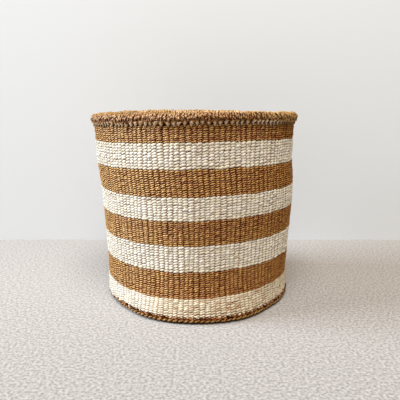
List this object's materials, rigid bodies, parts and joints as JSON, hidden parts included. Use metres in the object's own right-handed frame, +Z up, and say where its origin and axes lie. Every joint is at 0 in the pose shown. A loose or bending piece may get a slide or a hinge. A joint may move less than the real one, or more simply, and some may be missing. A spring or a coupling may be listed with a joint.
{
  "type": "kiondo basket",
  "caption": "Round, straight-sided open basket of twined sisal in brown and cream bands, with a wrapped rim and a flat base.",
  "frame": {"origin": "middle of the base, on the plane that the basket stands on", "axes": "+Z up along the basket's axis; the basket is round, and -Y is the side that the picture shows"},
  "size_m": [0.2486, 0.2486, 0.2252],
  "materials": {
    "brown_sisal": "matt twined sisal yarn, dyed brown",
    "cream_sisal": "matt twined sisal yarn, natural cream",
    "warp_sisal": "matt sisal cord, dyed brown",
    "rim_sisal": "sisal yarn wound over a core, dyed brown"
  },
  "bodies": {
    "root": {"base_knot": "brown_sisal", "base_weft_under": "brown_sisal", "base_weft_upper": "brown_sisal", "foot_row": "brown_sisal", "warps": "warp_sisal", "cream_band_1_outer_lay": "cream_sisal", "cream_band_1_inner_lay": "cream_sisal", "brown_band_1_outer_lay": "brown_sisal", "brown_band_1_inner_lay": "brown_sisal", "cream_band_2_outer_lay": "cream_sisal", "cream_band_2_inner_lay": "cream_sisal", "brown_band_2_outer_lay": "brown_sisal", "brown_band_2_inner_lay": "brown_sisal", "cream_band_3_outer_lay": "cream_sisal", "cream_band_3_inner_lay": "cream_sisal", "brown_band_3_outer_lay": "brown_sisal", "brown_band_3_inner_lay": "brown_sisal", "cream_band_4_outer_lay": "cream_sisal", "cream_band_4_inner_lay": "cream_sisal", "brown_band_4_outer_lay": "brown_sisal", "brown_band_4_inner_lay": "brown_sisal", "rim_core": "warp_sisal", "rim_wrap": "rim_sisal"}
  },
  "joints": []
}
